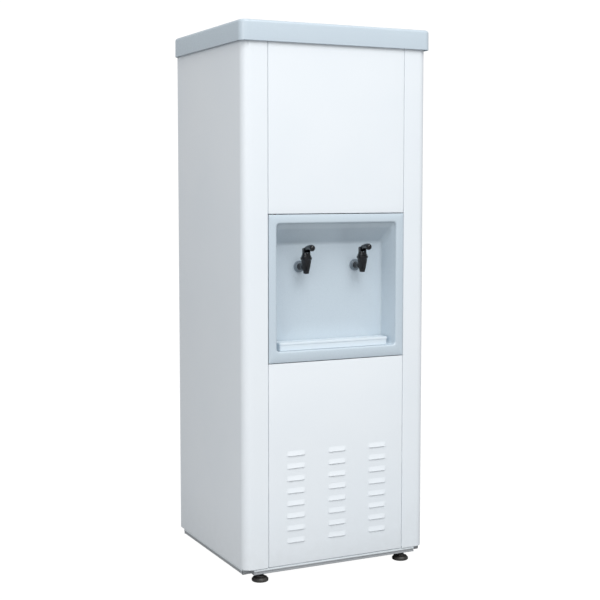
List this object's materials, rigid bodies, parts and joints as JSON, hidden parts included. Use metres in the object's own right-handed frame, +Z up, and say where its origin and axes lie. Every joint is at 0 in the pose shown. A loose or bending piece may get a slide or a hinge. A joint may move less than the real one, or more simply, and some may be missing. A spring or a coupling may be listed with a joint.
{
  "type": "water dispenser",
  "caption": "Floor-standing plumbed water cooler: white steel cabinet with a blue-grey lid, a cup alcove with sprung lever taps over a drip tray, and louvred lower front.",
  "frame": {"origin": "on the floor, under the middle of the cabinet's box", "axes": "+Z up, front faces -Y, +X to the right seen from the front"},
  "size_m": [0.499, 0.4659, 1.3],
  "materials": {
    "cabinet_white": "powder coated, satin",
    "moulding_blue_grey": "moulded, semi-gloss",
    "tray_white": "moulded, semi-gloss",
    "base_grey": "painted sheet, satin",
    "tap_black": "moulded, gloss",
    "rosette_grey": "moulded, satin",
    "foot_rubber": "moulded, matt",
    "zinc_steel": "zinc plated",
    "stainless": "drawn stainless sheet",
    "foam": "foamed, matt",
    "copper": "drawn copper tube",
    "brass": "turned brass",
    "silicone": "translucent, matt",
    "motor_black": "stoved enamel",
    "fan_grey": "moulded, matt",
    "aluminium_fin": "mill finish"
  },
  "bodies": {
    "cabinet": {"base_tray": "base_grey", "side_panel_left": "cabinet_white", "side_panel_right": "cabinet_white", "back_panel": "cabinet_white", "upper_front_panel": "cabinet_white", "lower_front_panel": "cabinet_white", "top_frame": "zinc_steel", "alcove_liner": "moulding_blue_grey", "tank_shelf": "zinc_steel", "tap_body_left": "tap_black", "tap_bonnet_left": "tap_black", "tap_pin_left": "zinc_steel", "tap_rosette_left": "rosette_grey", "tap_nut_left": "zinc_steel", "tap_body_right": "tap_black", "tap_bonnet_right": "tap_black", "tap_pin_right": "zinc_steel", "tap_rosette_right": "rosette_grey", "tap_nut_right": "zinc_steel", "cold_tank": "stainless", "tank_lid": "tray_white", "tank_insulation": "foam", "evaporator_coil": "copper", "float_valve": "tray_white", "inlet_fitting": "brass", "feed_hose": "silicone", "outlet_hose_left": "silicone", "outlet_hose_right": "silicone", "drain_fitting": "brass", "compressor": "motor_black", "condenser": "aluminium_fin", "fan_shroud": "zinc_steel", "fan_motor": "motor_black", "filter_drier": "copper", "thermostat": "tray_white", "cord_gland": "tap_black", "suction_line": "copper"},
    "lid": {"top_cover": "moulding_blue_grey"},
    "tray": {"drip_tray": "tray_white"},
    "grille": {"drip_grille": "tray_white"},
    "fan": {"fan_rotor": "fan_grey"},
    "knob": {"thermostat_knob": "tap_black"},
    "float": {"float_arm": "brass", "float_ball": "tap_black"},
    "foot_front_left": {"foot_pad_front_left": "foot_rubber", "foot_stud_front_left": "zinc_steel"},
    "foot_front_right": {"foot_pad_front_right": "foot_rubber", "foot_stud_front_right": "zinc_steel"},
    "foot_rear_left": {"foot_pad_rear_left": "foot_rubber", "foot_stud_rear_left": "zinc_steel"},
    "foot_rear_right": {"foot_pad_rear_right": "foot_rubber", "foot_stud_rear_right": "zinc_steel"},
    "lever_left": {"tap_lever_left": "tap_black"},
    "plunger_left": {"tap_plunger_left": "tap_black", "tap_seat_left": "silicone", "tap_spring_left": "zinc_steel"},
    "lever_right": {"tap_lever_right": "tap_black"},
    "plunger_right": {"tap_plunger_right": "tap_black", "tap_seat_right": "silicone", "tap_spring_right": "zinc_steel"}
  },
  "joints": [
    {"name": "lid_lift", "type": "slide", "parent": "cabinet", "child": "lid", "axis": [0, 0, 1], "range_m": [0, 0.06]},
    {"name": "tray_lift", "type": "slide", "parent": "cabinet", "child": "tray", "axis": [0, 0, 1], "range_m": [0, 0.06]},
    {"name": "grille_lift", "type": "slide", "parent": "tray", "child": "grille", "axis": [0, 0, 1], "range_m": [0, 0.04]},
    {"name": "foot_front_left_screw", "type": "slide", "parent": "cabinet", "child": "foot_front_left", "axis": [0, 0, -1], "range_m": [0, 0.012]},
    {"name": "foot_front_right_screw", "type": "slide", "parent": "cabinet", "child": "foot_front_right", "axis": [0, 0, -1], "range_m": [0, 0.012]},
    {"name": "foot_rear_left_screw", "type": "slide", "parent": "cabinet", "child": "foot_rear_left", "axis": [0, 0, -1], "range_m": [0, 0.012]},
    {"name": "foot_rear_right_screw", "type": "slide", "parent": "cabinet", "child": "foot_rear_right", "axis": [0, 0, -1], "range_m": [0, 0.012]},
    {"name": "lever_left_press", "type": "hinge", "parent": "cabinet", "child": "lever_left", "pos_m": [-0.075, -0.194, 0.776], "axis": [1, 0, 0], "range_deg": [0, 25], "stiffness_Nm_per_rad": 0.25, "springref_deg": -20.05},
    {"name": "plunger_left_rise", "type": "slide", "parent": "cabinet", "child": "plunger_left", "axis": [0, 0, 1], "range_m": [0, 0.0031], "deforming": ["tap_spring_left"]},
    {"name": "lever_right_press", "type": "hinge", "parent": "cabinet", "child": "lever_right", "pos_m": [0.075, -0.194, 0.776], "axis": [1, 0, 0], "range_deg": [0, 25], "stiffness_Nm_per_rad": 0.25, "springref_deg": -20.05},
    {"name": "plunger_right_rise", "type": "slide", "parent": "cabinet", "child": "plunger_right", "axis": [0, 0, 1], "range_m": [0, 0.0031], "deforming": ["tap_spring_right"]},
    {"name": "fan_spin", "type": "hinge", "parent": "cabinet", "child": "fan", "pos_m": [0, -0.134, 0.21], "axis": [0, 1, 0], "continuous": true},
    {"name": "knob_turn", "type": "hinge", "parent": "cabinet", "child": "knob", "pos_m": [0.12, 0.21, 0.42], "axis": [0, 1, 0], "range_deg": [0, 270]},
    {"name": "float_rise", "type": "hinge", "parent": "cabinet", "child": "float", "pos_m": [-0.04, 0.0435, 1.18], "axis": [0, -1, 0], "range_deg": [0, 25]}
  ],
  "couplings": [
    {"joint": "plunger_left_rise", "follows": "lever_left_press", "m_per_rad": 0.007},
    {"joint": "plunger_right_rise", "follows": "lever_right_press", "m_per_rad": 0.007}
  ]
}
